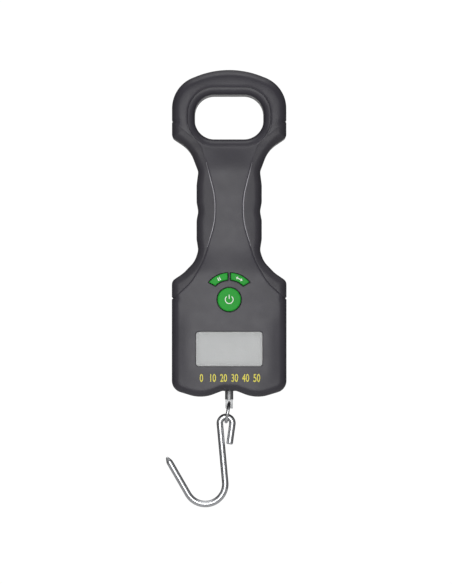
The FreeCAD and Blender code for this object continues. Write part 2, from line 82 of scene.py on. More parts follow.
def sample_corners(corners, step=1.0):
    """Points along a closed outline of corners (x, z, radius), each corner an arc."""
    points = []
    count = len(corners)
    for i, (x, z, radius) in enumerate(corners):
        corner = np.array((x, z), float)
        if radius == 0:
            points.append(corner)
            continue
        u = np.array(corners[i - 1][:2], float) - corner
        w = np.array(corners[(i + 1) % count][:2], float) - corner
        u /= np.linalg.norm(u)
        w /= np.linalg.norm(w)
        half = math.acos(float(np.dot(u, w))) / 2
        start = corner + u * radius / math.tan(half)
        centre = corner + (u + w) / np.linalg.norm(u + w) * radius / math.sin(half)
        first = math.atan2(*(start - centre)[::-1])
        turn = math.pi - 2 * half
        sign = 1.0 if u[0] * w[1] - u[1] * w[0] < 0 else -1.0
        pieces = max(3, int(radius * turn / step) + 1)
        for k in range(pieces + 1):
            angle = first + sign * turn * k / pieces
            points.append(centre + radius * np.array((math.cos(angle), math.sin(angle))))
    return np.array(points)


def densify(points, step):
    """The same closed outline with no side longer than step."""
    dense = []
    for a, b in zip(points, np.roll(points, -1, axis=0)):
        count = max(1, int(np.linalg.norm(b - a) / step + 0.999))
        dense += [a + (b - a) * k / count for k in range(count) if np.linalg.norm(b - a) > 1e-6]
    return np.array(dense)


def mirrored(corners):
    return corners + [(-x, z, r) for x, z, r in reversed(corners) if x > 0]


def rectangle(x0, x1, z0, z1, radius):
    return [(x0, z1, radius), (x1, z1, radius), (x1, z0, radius), (x0, z0, radius)]


def notch(z):
    return [(SIDE, z + 0.8, 0), (SIDE - NOTCH_DEPTH, z, 0), (SIDE, z - 0.8, 0)]


OUTLINE = densify(sample_corners(mirrored(
    [(0, 20.9, 58), (SIDE, 6.1, 22)] + notch(NOTCH_Z[0]) + [
        (SIDE, -28.2, 3.5), (26.2, -36.1, 20),
        (VALLEY, -51, 6), (WAIST, -60, 14), (WAIST, -71.5, 10),
        (VALLEY, -77.5, 8), (WAIST, -83.5, 10), (WAIST, -96, 10), (VALLEY, -103.2, 8),
        (22.74, -110.5, 16), (30.3, -118.4, 20), (SIDE, -123.6, 4.5)]
    + notch(NOTCH_Z[1]) + [(SIDE, -195.6, 8), (18, -201.6, 24), (4.2, -196.2, 9)])), 1.2)
OPENING = densify(
    sample_corners(rectangle(-OPENING_HALF, OPENING_HALF, OPENING_BOTTOM, 0, OPENING_ROUND)), 1.0)


def seam(corners):
    """Closed outline of the right grip's zone, whose inner side is the seam."""
    top = [(60, NOTCH_Z[0], 0), (SIDE - NOTCH_DEPTH, NOTCH_Z[0], 0)]
    bottom = [(SIDE - NOTCH_DEPTH, NOTCH_Z[1], 0), (60, NOTCH_Z[1], 0)]
    return densify(sample_corners(top + corners + bottom), 1.0)


FRONT_ZONE = seam([(18.3, -33, 14), (9.4, -68, 50), (9.4, -84, 50), (17, -110, 50), (25.5, -124.5, 30)])
BACK_ZONE = seam([(21.5, -33, 14), (16.0, -66, 60), (16.0, -86, 60), (20.5, -109, 50), (27, -124.5, 30)])


def flipped(points):
    return np.column_stack((-points[:, 0], points[:, 1]))[::-1]


def inside(points, outline):
    """Which points lie inside a closed outline, by counting crossings."""
    x, z = points[:, 0], points[:, 1]
    result = np.zeros(len(points), bool)
    for a, b in zip(outline, np.roll(outline, -1, axis=0)):
        crosses = (a[1] > z) != (b[1] > z)
        if crosses.any():
            at = a[0] + (z - a[1]) * (b[0] - a[0]) / (b[1] - a[1] + 1e-12)
            result ^= crosses & (x < at)
    return result


def distance(points, outline, closed=True):
    """Distance of each point to an outline."""
    ends = np.roll(outline, -1, axis=0) if closed else outline[1:]
    starts = outline if closed else outline[:-1]
    best = np.full(len(points), 1e9)
    for a, b in zip(starts, ends):
        side = b - a
        length = float(side @ side)
        if length < 1e-12:
            continue
        along = np.clip((points - a) @ side / length, 0, 1)
        gap = points - (a + along[:, None] * side)
        best = np.minimum(best, np.hypot(gap[:, 0], gap[:, 1]))
    return best


def smooth(t):
    t = np.clip(t, 0.0, 1.0)
    return t * t * (3 - 2 * t)


# ---------------------------------------------------------------- surfaces of the casing

def quarter(gap, radius):
    """How far a rounded edge has fallen at a distance gap inside it."""
    t = np.clip(radius - gap, 0, radius)
    return radius - np.sqrt(np.maximum(radius * radius - t * t, 0))


def seam_line(zone):
    """The part of a grip zone's outline that is the seam itself."""
    return zone[zone[:, 0] < SIDE - NOTCH_DEPTH + 0.01]


SEAMS = [seam_line(FRONT_ZONE), flipped(FRONT_ZONE)[flipped(FRONT_ZONE)[:, 0] > -SIDE + NOTCH_DEPTH - 0.01]]
BACK_SEAMS = [seam_line(BACK_ZONE), flipped(BACK_ZONE)[flipped(BACK_ZONE)[:, 0] > -SIDE + NOTCH_DEPTH - 0.01]]


def front_height(points, grip):
    """Height of the front skin above the covers' meeting plane, in mm."""
    x, z = points[:, 0], points[:, 1]
    lower = smooth((-98 - z) / 26.0)
    height = 11.5 + 2.5 * smooth((-30 - z) / 22.0) + 2.5 * lower
    across = np.abs(x) / SIDE
    display = smooth((35 - np.abs(x)) / 12.0) * smooth((27 - np.abs(z - WINDOW_MIDDLE)) / 14.0)
    height -= 2.0 * across ** 2.4 * (1 - 0.85 * display) * lower
    waist = smooth((-34 - z) / 14.0) * (1 - smooth((-104 - z) / 16.0))
    height -= waist * 1.5 * (x / WAIST) ** 2
    loop = 1 - smooth((-26 - z) / 10.0)
    edge = distance(points, OUTLINE)
    hole = distance(points, OPENING)
    height -= loop * 1.5 * np.clip(1 - edge / 9.0, 0, 1) ** 2
    height -= quarter(edge, RIM_FRONT)
    height -= quarter(hole, BAND) * 0.95
    crease = 1 - 0.75 * smooth((-20 - z) / 12.0)
    height -= crease * 0.55 * smooth((BAND + 0.12 - hole) / 0.24)
    height += crease * 0.25 * np.exp(-((hole - BAND - 0.35) / 0.4) ** 2)
    line = np.minimum(distance(points, SEAMS[0], False), distance(points, SEAMS[1], False))
    if grip:
        height += 0.14 * smooth(line / 0.9) - 0.08
    else:
        depth = 0.06 + 0.24 * smooth((-38 - z) / 14.0)
        height -= depth * np.exp(-(line / 0.5) ** 2)
    bulge = np.exp(-((z + 182.6) / 1.3) ** 2) * smooth((21 - np.abs(x)) / 2.0)
    height += 0.0 if grip else 0.10 * bulge
    return height


def back_height(points, _grip):
    edge = distance(points, OUTLINE)
    height = BACK - quarter(edge, RIM_BACK) - 0.02
    line = np.minimum(distance(points, BACK_SEAMS[0], False), distance(points, BACK_SEAMS[1], False))
    return height - 0.35 * np.exp(-(line / 0.5) ** 2)


def ring_points(outline, offsets, inward):
    """Loose points at set distances beside an outline, so that an edge's rounding is drawn finely."""
    before = np.roll(outline, 1, axis=0)
    after = np.roll(outline, -1, axis=0)
    tangent = after - before
    tangent /= np.linalg.norm(tangent, axis=1)[:, None]
    normal = np.column_stack((-tangent[:, 1], tangent[:, 0])) * inward
    rings = []
    for offset in offsets:
        ring = outline + normal * offset
        rings.append(ring[distance(ring, outline) > offset * 0.97])
    return rings


def triangulate(outlines, loose):
    """Triangles over the plane, with every outline kept as edges."""
    points = []
    edges = []
    for outline, closed in outlines:
        first = len(points)
        points += [tuple(p) for p in outline]
        count = len(outline)
        edges += [(first + i, first + (i + 1) % count) for i in range(count if closed else count - 1)]
    points += [tuple(p) for ring in loose for p in ring]
    result = delaunay_2d_cdt([Vector(p) for p in points], edges, [], 0, 1e-4)
    return np.array([(p.x, p.y) for p in result[0]]), np.array([f for f in result[2] if len(f) == 3])


def area_sign(outline):
    x, z = outline[:, 0], outline[:, 1]
    return 1.0 if np.sum(x * np.roll(z, -1) - np.roll(x, -1) * z) > 0 else -1.0


RIM_STEPS = (0.12, 0.35, 0.7, 1.1, 1.6, 2.2, 2.9, 3.6, 4.3, 5.0, 6.0)
BAND_STEPS = (0.12, 0.35, 0.7, 1.2, 1.8, 2.5, 3.2, 3.9, 4.4, 4.58, 4.7, 4.82, 5.0, 5.4, 6.0)
SEAM_STEPS = (0.2, 0.45, 0.75, 1.1, 1.6)
HOLE_STEPS = (0.15, 0.4, 0.8)


def skin_grid(step):
    xs = np.arange(-SIDE, SIDE + 0.1, step)
    zs = np.arange(-202.0, 18.0, step)
    grid = np.array([(x + (0.5 * step if j % 2 else 0), z) for j, z in enumerate(zs) for x in xs])
    keep = inside(grid, OUTLINE) & ~inside(grid, OPENING)
    keep &= (distance(grid, OUTLINE) > 6.2) & (distance(grid, OPENING) > 6.2)
    return grid[keep]


def skin_plane(seams, holes, step):
    """One triangulation for a whole face of the casing, cut along its seams and holes."""
    outlines = [(OUTLINE, True), (OPENING, True)] + [(s, False) for s in seams] + [(h, True) for h in holes]
    loose = [skin_grid(step)]
    loose += ring_points(OUTLINE, RIM_STEPS, area_sign(OUTLINE))
    loose += ring_points(OPENING, BAND_STEPS, -area_sign(OPENING))
    for line in seams:
        for way in (-1, 1):
            loose += [r[2:-2] for r in ring_points(line, SEAM_STEPS, way)]
    for hole in holes:
        loose += ring_points(hole, HOLE_STEPS, -area_sign(hole))
    loose = [r[inside(r, OUTLINE) & ~inside(r, OPENING)] for r in loose if len(r)]
    return triangulate(outlines, loose)


def open_edges(faces):
    """Edges that only one face uses, in that face's direction."""
    seen = {}
    for face in faces:
        for edge in zip(face, face[1:] + face[:1]):
            seen[edge] = True
    return [edge for edge in seen if (edge[1], edge[0]) not in seen]


def skin_part(points, triangles, keep, height, facing, wall_foot):
    """Vertices and faces of one part of a skin with walls down from its open edges.
    facing is -1 for the front and 1 for the back.
    wall_foot gives each edge point's height at the wall's foot."""
    triangles = triangles[keep]
    used = np.unique(triangles)
    index = {int(v): i for i, v in enumerate(used)}
    flat = points[used]
    tops = height(flat)
    vertices = [(p[0], facing * h, p[1]) for p, h in zip(flat, tops)]
    faces = [tuple(index[int(v)] for v in t) for t in triangles]
    edges = open_edges(faces)
    rim = sorted({v for edge in edges for v in edge})
    foot_heights = wall_foot(flat[rim], tops[rim])
    levels = 3
    columns = {}
    for v, foot in zip(rim, foot_heights):
        columns[v] = [v]
        for k in range(1, levels + 1):
            columns[v].append(len(vertices))
            y = tops[v] + (foot - tops[v]) * k / levels
            vertices.append((flat[v][0], facing * y, flat[v][1]))
    for a, b in edges:
        for k in range(levels):
            faces.append((columns[b][k], columns[a][k], columns[a][k + 1], columns[b][k + 1]))
    return vertices, faces


def mesh_object(name, vertices, faces, material, scale=MM):
    mesh = bpy.data.meshes.new(name)
    points = [tuple(c * scale for c in v) for v in vertices]
    mesh.from_pydata(points, [], [tuple(int(i) for i in f) for f in faces])
    mesh.update()
    work = bmesh.new()
    work.from_mesh(mesh)
    bmesh.ops.remove_doubles(work, verts=work.verts, dist=2e-6)
    bmesh.ops.recalc_face_normals(work, faces=work.faces)
    work.to_mesh(mesh)
    work.free()
    obj = bpy.data.objects.new(name, mesh)
    bpy.context.scene.collection.objects.link(obj)
    mesh.materials.append(material)
    return obj


def shade(obj, angle=38.0):
    for polygon in obj.data.polygons:
        polygon.use_smooth = True
    obj.data.set_sharp_from_angle(angle=math.radians(angle))


def close_shell(obj, outward, thickness):
    """Turns an open sheet into a closed shell: the sheet is its outer side."""
    mesh = obj.data
    seed = max(mesh.polygons, key=lambda p: p.center.dot(outward))
    if seed.normal.dot(outward) < 0:
        mesh.flip_normals()
    solid = obj.modifiers.new("wall", "SOLIDIFY")
    solid.thickness = thickness * MM
    solid.offset = -1.0
    solid.use_rim = True


# ---------------------------------------------------------------- materials

def srgb(r, g, b):
    """A linear colour from 0 to 255 sRGB values."""
    def linear(v):
        v /= 255.0
        return v / 12.92 if v <= 0.04045 else ((v + 0.055) / 1.055) ** 2.4
    return (linear(r), linear(g), linear(b), 1.0)


class Nodes:
    """A short way to build one material's node tree."""

    def __init__(self, name):
        self.material = bpy.data.materials.new(name)
        self.material.use_nodes = True
        self.tree = self.material.node_tree
        self.shader = self.tree.nodes["Principled BSDF"]
        self.place = self.add("ShaderNodeTexCoord").outputs["Object"]

    def add(self, kind, **values):
        node = self.tree.nodes.new(kind)
        for key, value in values.items():
            setattr(node, key, value)
        return node

    def link(self, source, target):
        self.tree.links.new(source, target)

    def noise(self, scale, detail=3.0, roughness=0.5, stretch=None):
        node = self.add("ShaderNodeTexNoise")
        node.inputs["Scale"].default_value = scale
        node.inputs["Detail"].default_value = detail
        node.inputs["Roughness"].default_value = roughness
        place = self.place
        if stretch:
            mapping = self.add("ShaderNodeMapping")
            mapping.inputs["Scale"].default_value = stretch
            self.link(place, mapping.inputs["Vector"])
            place = mapping.outputs["Vector"]
        self.link(place, node.inputs["Vector"])
        return node.outputs["Fac"]

    def ramp(self, source, low, high, start=0.35, end=0.65):
        node = self.add("ShaderNodeValToRGB")
        node.color_ramp.elements[0].position = start
        node.color_ramp.elements[1].position = end
        node.color_ramp.elements[0].color = low
        node.color_ramp.elements[1].color = high
        self.link(source, node.inputs["Fac"])
        return node.outputs["Color"]

    def span(self, source, low, high):
        node = self.add("ShaderNodeMapRange")
        node.inputs["To Min"].default_value = low
        node.inputs["To Max"].default_value = high
        self.link(source, node.inputs["Value"])
        return node.outputs["Result"]

    def bump(self, source, strength, depth):
        node = self.add("ShaderNodeBump")
        node.inputs["Strength"].default_value = strength
        node.inputs["Distance"].default_value = depth
        self.link(source, node.inputs["Height"])
        self.link(node.outputs["Normal"], self.shader.inputs["Normal"])


def grained(name, colour, spread, roughness, grain_scale, grain, metallic=0.0, specular=0.5, coat=0.0):
    """Moulded or rolled material: colour clouds, uneven gloss and a fine grain."""
    n = Nodes(name)
    low = tuple(c * (1 - spread) for c in colour[:3]) + (1.0,)
    high = tuple(min(1.0, c * (1 + spread)) for c in colour[:3]) + (1.0,)
    n.link(n.ramp(n.noise(60.0, 4.0), low, high), n.shader.inputs["Base Color"])
    n.link(n.span(n.noise(140.0, 5.0), roughness - 0.06, roughness + 0.08), n.shader.inputs["Roughness"])
    n.shader.inputs["Metallic"].default_value = metallic
    n.shader.inputs["Specular IOR Level"].default_value = specular
    n.shader.inputs["Coat Weight"].default_value = coat
    n.bump(n.noise(grain_scale, 2.0), grain, 0.00012)
    return n.material


def polished(name, colour, roughness):
    """Drawn steel wire: bright, with long faint scratches."""
    n = Nodes(name)
    low = tuple(c * 0.9 for c in colour[:3]) + (1.0,)
    n.link(n.ramp(n.noise(220.0, 4.0, stretch=(1, 1, 0.15)), low, colour), n.shader.inputs["Base Color"])
    gloss = n.span(n.noise(500.0, 3.0, stretch=(1, 1, 0.1)), roughness, roughness + 0.04)
    n.link(gloss, n.shader.inputs["Roughness"])
    n.shader.inputs["Metallic"].default_value = 1.0
    return n.material


def clear_window(name):
    """A thin clear pane: nearly see-through, with a glossy face."""
    n = Nodes(name)
    n.link(n.ramp(n.noise(40.0), (0.86, 0.87, 0.87, 1), (0.92, 0.93, 0.93, 1)), n.shader.inputs["Base Color"])
    n.link(n.span(n.noise(300.0), 0.08, 0.14), n.shader.inputs["Roughness"])
    n.link(n.span(n.noise(90.0), 0.10, 0.16), n.shader.inputs["Alpha"])
    n.bump(n.noise(30.0), 0.02, 0.0001)
    return n.material


CASE = grained("case_plastic", srgb(54, 52, 59), 0.07, 0.42, 2600.0, 0.22, specular=0.45)
RUBBER = grained("grip_rubber", srgb(54, 52, 58), 0.06, 0.46, 3400.0, 0.28, specular=0.4)
# Pale grey for the waist seam beads: a painted highlight standing in for the light caught along the seams.
PAINTED_SEAM_HIGHLIGHT = grained("seam_painted_highlight", srgb(165, 163, 169), 0.05, 0.34, 2600.0, 0.1)
GREEN = grained("button_green", srgb(38, 158, 52), 0.05, 0.5, 2400.0, 0.2, specular=0.2)
SATIN = grained("satin_steel", (0.33, 0.335, 0.34, 1.0), 0.06, 0.5, 1500.0, 0.12, metallic=1.0)
FILM = grained("silver_film", srgb(168, 170, 170), 0.02, 0.4, 1800.0, 0.05)
WHITE_MARK = grained("white_mark", srgb(236, 238, 232), 0.03, 0.5, 2600.0, 0.15)
YELLOW_MARK = grained("yellow_mark", srgb(226, 214, 62), 0.05, 0.45, 2600.0, 0.15)
LCD = grained("lcd_glass", srgb(168, 170, 170), 0.02, 0.35, 1800.0, 0.05)
STEEL = polished("polished_steel", (0.60, 0.61, 0.63, 1.0), 0.26)
ZINC = grained("zinc_steel", (0.55, 0.56, 0.58, 1.0), 0.08, 0.36, 1500.0, 0.2, metallic=1.0)
SPRING = grained("spring_steel", (0.66, 0.65, 0.62, 1.0), 0.06, 0.28, 1500.0, 0.15, metallic=1.0)
ALUMINIUM = grained("cell_aluminium", (0.70, 0.71, 0.73, 1.0), 0.06, 0.34, 1200.0, 0.25, metallic=1.0)
BLACK = grained("black_plastic", srgb(26, 26, 27), 0.1, 0.5, 2200.0, 0.25)
WHITE = grained("white_plastic", srgb(226, 226, 220), 0.03, 0.48, 2200.0, 0.2)
BOARD = grained("board_green", srgb(24, 92, 46), 0.12, 0.38, 900.0, 0.2)
FOIL = grained("gauge_foil", srgb(196, 138, 60), 0.1, 0.4, 1500.0, 0.2)
ZEBRA = grained("zebra_rubber", srgb(120, 120, 128), 0.2, 0.6, 1500.0, 0.2)
WRAP = grained("battery_wrap", srgb(42, 52, 120), 0.05, 0.3, 800.0, 0.1, coat=0.3)
RED_WIRE = grained("wire_red", srgb(176, 28, 24), 0.06, 0.42, 1500.0, 0.15)
BLACK_WIRE = grained("wire_black", srgb(22, 22, 22), 0.06, 0.42, 1500.0, 0.15)
GREY_WIRE = grained("wire_grey", srgb(130, 130, 130), 0.06, 0.42, 1500.0, 0.15)
WINDOW = clear_window("window_clear")

SLOT_MATERIALS = {
    "case_plastic": CASE, "grip_rubber": RUBBER, "zinc_steel": ZINC, "window_clear": WINDOW, "lcd_glass": LCD,
    "reflector": ALUMINIUM, "white_plastic": WHITE, "zebra_rubber": ZEBRA, "board_green": BOARD,
    "black_plastic": BLACK, "cell_aluminium": ALUMINIUM, "gauge_foil": FOIL, "polished_steel": STEEL,
    "satin_steel": SATIN, "battery_wrap": WRAP, "spring_steel": SPRING,
    "wire_red": RED_WIRE, "wire_black": BLACK_WIRE,
    "wire_grey": GREY_WIRE, "button_green": GREEN,
}


def paint_frame():
    """Each CAD node takes the material of its slot in the record."""
    for part in frame["record"]["subparts"]:
        obj = frame["nodes"][part["node"]]
        material = FILM if part["node"] == "window_tape" else SLOT_MATERIALS[part["material_slot"]]
        if not obj.material_slots:
            obj.data.materials.append(material)
        for place in obj.material_slots:
            place.material = material


# ---------------------------------------------------------------- casing

def circle(radius, x, z, count=72):
    turns = np.arange(count) * 2 * math.pi / count
    return np.column_stack((x + radius * np.cos(turns), z + radius * np.sin(turns)))


def arc_button_outline(side, grow):
    """A ring sector about the round button's centre, between an upright end and a slanting one."""
    inner = ARC_IN - grow
    outer = ARC_OUT + grow
    upright = ARC_SIDE - grow
    foot = np.array((ARC_FOOT, ARC_FOOT - grow / math.cos(ARC_SLANT)))
    along = np.array((math.cos(ARC_SLANT), math.sin(ARC_SLANT)))

    def meet(radius):
        """Angle at which the slanting end crosses a circle of that radius."""
        b = foot @ along
        t = -b + math.sqrt(b * b - (foot @ foot - radius * radius))
        x, z = foot + along * t
        return math.atan2(z, x)
    top = [math.acos(upright / r) for r in (outer, inner)]
    low = [meet(r) for r in (outer, inner)]
    points = [outer * np.array((math.cos(a), math.sin(a))) for a in np.linspace(top[0], low[0], 26)]
    points += [inner * np.array((math.cos(a), math.sin(a))) for a in np.linspace(low[1], top[1], 20)]
    points = np.array(points)
    points[:, 1] += BUTTON_Z
    return points if side > 0 else flipped(points)


def window_outline(grow):
    low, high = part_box("lcd_window")
    return sample_corners(rectangle(low[0] / MM - grow, high[0] / MM + grow, low[2] / MM - grow,
                                    high[2] / MM + grow, 2.0 + grow), 0.3)


def make_casing():
    """Front cover and both grips, cut from one crowned skin."""
    round_r = (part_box("power_button")[1][0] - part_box("power_button")[0][0]) / 2 / MM - 0.75
    holes = [densify(window_outline(0.15), 1.0), circle(round_r + BUTTON_GAP, 0, BUTTON_Z),
             densify(arc_button_outline(1, BUTTON_GAP), 0.8),
             densify(arc_button_outline(-1, BUTTON_GAP), 0.8)]
    points, triangles = skin_plane(SEAMS, holes, 1.7)
    middles = points[triangles].mean(axis=1)
    body = inside(middles, OUTLINE) & ~inside(middles, OPENING)
    for hole in holes:
        body &= ~inside(middles, hole)
    right = inside(middles, FRONT_ZONE)
    left = inside(middles, flipped(FRONT_ZONE))

    def cover_foot(flat, tops):
        outer = (distance(flat, OUTLINE) < 0.02) | (distance(flat, OPENING) < 0.02)
        return np.where(outer, 0.12, tops - 1.6)

    def cover_height(flat):
        height = front_height(flat, False)
        for hole in holes:
            height -= 0.25 * quarter(distance(flat, hole), 0.5) / 0.5
        return height

    vertices, faces = skin_part(points, triangles, body & ~right & ~left, cover_height, -1, cover_foot)
    cover = mesh_object("front_shell", vertices, faces, CASE)
    close_shell(cover, Vector((0, -1, 0)), SHEET)
    shade(cover)
    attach(cover, "casing")
    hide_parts("front_cover")

    rear_points, rear_triangles = skin_plane(BACK_SEAMS, [], 3.0)
    rear_middles = rear_points[rear_triangles].mean(axis=1)
    rear_body = inside(rear_middles, OUTLINE) & ~inside(rear_middles, OPENING)

    def grip_foot(flat, tops):
        return np.where(distance(flat, OUTLINE) < 0.02, 0.0, tops - 1.2)

    for name, side_zone, rear_zone in (
            ("right_grip", right, inside(rear_middles, BACK_ZONE)),
            ("left_grip", left, inside(rear_middles, flipped(BACK_ZONE)))):
        vertices, faces = skin_part(points, triangles, body & side_zone,
                                    lambda p: front_height(p, True), -1, grip_foot)
        more, more_faces = skin_part(rear_points, rear_triangles, rear_body & rear_zone,
                                     lambda p: back_height(p, True), 1, grip_foot)
        shift = len(vertices)
        vertices += more
        faces += [tuple(i + shift for i in f) for f in more_faces]
        grip = mesh_object(name + "_skin", vertices, faces, RUBBER)
        close_shell(grip, Vector((0, -1, 0)), 0.9)
        shade(grip)
        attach(grip, "casing")
        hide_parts(name)


def make_painted_highlight_beads():
    """A fine raised bead along the waist of each grip's front edge, pale grey: its colour is a painted
    highlight of the light caught along the seam.
    """
    for name, line in (("right_highlight_bead", SEAMS[0]), ("left_highlight_bead", SEAMS[1])):
        line = line[(line[:, 1] < -45.0) & (line[:, 1] > -102.0)]
        tops = front_height(line, False)
        ends = np.minimum(np.abs(line[:, 1] + 45.0), np.abs(line[:, 1] + 102.0))
        radii = 0.08 + 0.24 * smooth(ends / 14.0)
        path = [(x, -(top + 0.15), z) for (x, z), top in zip(line, tops)]
        # the bead's pale colour is a painted highlight along the seam
        bead = sweep(name, path, list(radii), PAINTED_SEAM_HIGHLIGHT, 12)
        shade(bead)
        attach(bead, "casing")


def pad(name, outline, top, edge, crown, bottom, material):
    """A key cap: rounded edge, slightly crowned face, flat underside. Heights are in mm in front of y = 0."""
    centre = outline.mean(axis=0)
    steps = (0.0, 0.08, 0.2, 0.4, 0.65, 1.0, 1.6)
    low = outline.min(axis=0)
    high = outline.max(axis=0)
    grid = np.array([(x, z) for x in np.arange(low[0], high[0], 0.7)
                     for z in np.arange(low[1], high[1], 0.7)])
    grid = grid[inside(grid, outline) & (distance(grid, outline) > 1.9)]
    loose = [grid] + [r[inside(r, outline)] for r in ring_points(outline, steps[1:], area_sign(outline))]
    points, triangles = triangulate([(outline, True)], [r for r in loose if len(r)])
    keep = inside(points[triangles].mean(axis=1), outline)

    def height(flat):
        far = np.hypot(*(flat - centre).T) / np.hypot(*(outline - centre).T).max()
        return top - quarter(distance(flat, outline), edge) - crown * far ** 2

    vertices, faces = skin_part(points, triangles, keep, height, -1, lambda f, t: np.full(len(f), bottom))
    follow = dict(open_edges(faces))
    loop = [next(iter(follow))]
    while follow[loop[-1]] != loop[0]:
        loop.append(follow[loop[-1]])
    faces.append(tuple(reversed(loop)))
    obj = mesh_object(name, vertices, faces, material)
    shade(obj, 50.0)
    return obj


def ribbon(name, path, width, base, thick, material, closed=False):
    """A thin raised mark along a path of (x, z) points, lying on the plane y = -base."""
    path = np.array(path, float)
    count = len(path)
    vertices = []
    for i, p in enumerate(path):
        a = path[i - 1] if closed or i else p
        b = path[(i + 1) % count] if closed or i < count - 1 else p
        way = (b - a) / np.linalg.norm(b - a)
        across = np.array((-way[1], way[0])) * width / 2
        for y in (-base, -base - thick):
            vertices.append((p[0] + across[0], y, p[1] + across[1]))
            vertices.append((p[0] - across[0], y, p[1] - across[1]))
    faces = []
    for i in range(count if closed else count - 1):
        a = 4 * i
        b = 4 * ((i + 1) % count)
        faces += [(a, b, b + 1, a + 1), (a + 2, a + 3, b + 3, b + 2),
                  (a, a + 2, b + 2, b), (a + 1, b + 1, b + 3, a + 3)]
    if not closed:
        last = 4 * (count - 1)
        faces += [(0, 1, 3, 2), (last, last + 2, last + 3, last + 1)]
    return mesh_object(name, vertices, faces, material)


def make_buttons():
    low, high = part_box("power_button")
    face = -low[1] / MM
    bottom = 12.6
    radius = (high[0] - low[0]) / 2 / MM - 0.75
    power = pad("power_cap", circle(radius, 0, BUTTON_Z), face, 0.9, 0.25, bottom, GREEN)
    right = pad("unit_cap", densify(arc_button_outline(1, 0.0), 0.6), face, 0.7, 0.15, bottom, GREEN)
    left = pad("hold_cap", densify(arc_button_outline(-1, 0.0), 0.6), face, 0.7, 0.15, bottom, GREEN)
    for cap, key in ((power, "power"), (right, "unit"), (left, "hold")):
        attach(cap, key + "_key")
        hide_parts(key + "_button")

    # Marks: a stroke in a broken ring, a two-way arrow and a bar pair, all generic signs.
    base = face - 0.12
    turns = np.radians(np.linspace(90 + 38, 90 + 322, 28))
    ring = [(2.6 * math.cos(a), BUTTON_Z + 2.6 * math.sin(a)) for a in turns]
    marks = [("power_ring_mark", ring, "power_key"),
             ("power_stroke_mark", [(0, BUTTON_Z + 0.4), (0, BUTTON_Z + 3.2)], "power_key")]
    lean = math.radians(64.0)
    spot = np.array((15.15 * math.cos(lean), BUTTON_Z + 15.15 * math.sin(lean)))
    along = np.array((math.sin(lean), -math.cos(lean)))
    across = np.array((math.cos(lean), math.sin(lean)))
    marks.append(("unit_shaft_mark", [spot - along * 1.7, spot + along * 1.7], "unit_key"))
    for i, end in enumerate((-1, 1)):
        tip = spot + along * end * 2.1
        back = tip - along * end * 0.9
        marks.append(("unit_arrow_mark_%d" % i, [back + across * 0.8, tip, back - across * 0.8], "unit_key"))
    mirror = np.array((-spot[0], spot[1]))
    upright = np.array((-across[0], across[1]))
    sideways = np.array((-along[0], along[1]))
    for i, end in enumerate((-1, 1)):
        middle = mirror + sideways * end * 0.6
        marks.append(("hold_bar_mark_%d" % i, [middle - upright * 1.1, middle + upright * 1.1], "hold_key"))
    for name, path, body in marks:
        mark = ribbon(name, path, 0.55, base, 0.14, WHITE_MARK)
        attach(mark, body)


def make_window():
    """The display's pane, with a softened edge, a hair in front of its tape."""
    low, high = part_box("lcd_window")
    outline = densify(window_outline(0.0), 1.0)
    pane = pad("window_pane", outline, -low[1] / MM, 0.3, 0.0, -high[1] / MM + 0.1, WINDOW)
    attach(pane, "casing")
    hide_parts("lcd_window")


def make_scale_marks():
    """Plain numbers on the front below the display, sunk a little into its curved face."""
    spots = np.array([(-18.3 + 7.3 * i, -187.9) for i in range(6)])
    for i, spot in enumerate(spots):
        around = np.array([(spot[0] + dx, spot[1] + dz) for dx in (-3, 0, 3) for dz in (-3, 0, 3)])
        top = front_height(around, False).max()
        curve = bpy.data.curves.new("number_%d" % (i * 10), "FONT")
        curve.body = str(i * 10)
        curve.size = 7.2 * MM
        curve.align_x = "CENTER"
        curve.align_y = "CENTER"
        curve.extrude = 0.3 * MM
        curve.offset = 0.06 * MM
        number = bpy.data.objects.new("number_%d" % (i * 10), curve)
        bpy.context.scene.collection.objects.link(number)
        number.rotation_euler = (math.pi / 2, 0, 0)
        number.location = (spot[0] * MM, -(top - 0.2) * MM, spot[1] * MM)
        number.scale = (0.66, 1, 1)
        number.data.materials.append(YELLOW_MARK)
        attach(number, "casing")


# ---------------------------------------------------------------- link ring and hook

def sweep(name, path, radii, material, sides=32, closed=False):
    """A round bar along a path of points in mm, with a radius at each point and flat ends."""
    path = [Vector(p) for p in path]
    count = len(path)
    vertices = []
    side = None
    for i, p in enumerate(path):
        before = path[i - 1] if closed or i else p
        after = path[(i + 1) % count] if closed or i < count - 1 else p
        way = (after - before).normalized()
        if side is None:
            side = way.orthogonal().normalized()
        side = (side - way * side.dot(way)).normalized()
        other = way.cross(side)
        for k in range(sides):
            angle = 2 * math.pi * k / sides
            vertices.append(p + (side * math.cos(angle) + other * math.sin(angle)) * radii[i])
    faces = []
    for i in range(count if closed else count - 1):
        a = i * sides
        b = ((i + 1) % count) * sides
        faces += [(a + k, a + (k + 1) % sides, b + (k + 1) % sides, b + k) for k in range(sides)]
    if not closed:
        faces.append(tuple(reversed(range(sides))))
        faces.append(tuple(range((count - 1) * sides, count * sides)))
    return mesh_object(name, [tuple(v) for v in vertices], faces, material)


LINK_R = 6.45
LINK_WIRE = 1.1
LINK_TILT = math.radians(9.0)
EYE_Z = -204.7
HOOK_WIRE = 2.2
CURL_R = 4.2
CURL_LEAN = math.radians(8.0)
CURL_END = 13.6
SHANK_LEAN = math.radians(5.2)
SHANK = 39.2
BEND_R = 13.3
LEG_LEAN = math.radians(30.0)
LEG_REACH = 28.4        # straight leg and its cone
HOOK_GAP = 0.05         # play between hook and link
# How far along each straight run its points lie, and how thick the bar is at its two ends
SHORT_STEPS = (0.0, 0.015, 0.04, 0.08, 0.3, 0.6)
SHANK_STEPS = (0.15, 0.35, 0.55, 0.75, 0.9)
LEG_STEPS = (0.2, 0.45, 0.65, 0.80, 0.845, 0.87, 0.90, 0.94, 0.97, 0.99, 1.0)
START_TAPER = (0.78, 0.92, 0.98, 1.0)
TIP_TAPER = (1.0, 0.97, 0.86, 0.66, 0.48, 0.36, 0.24)


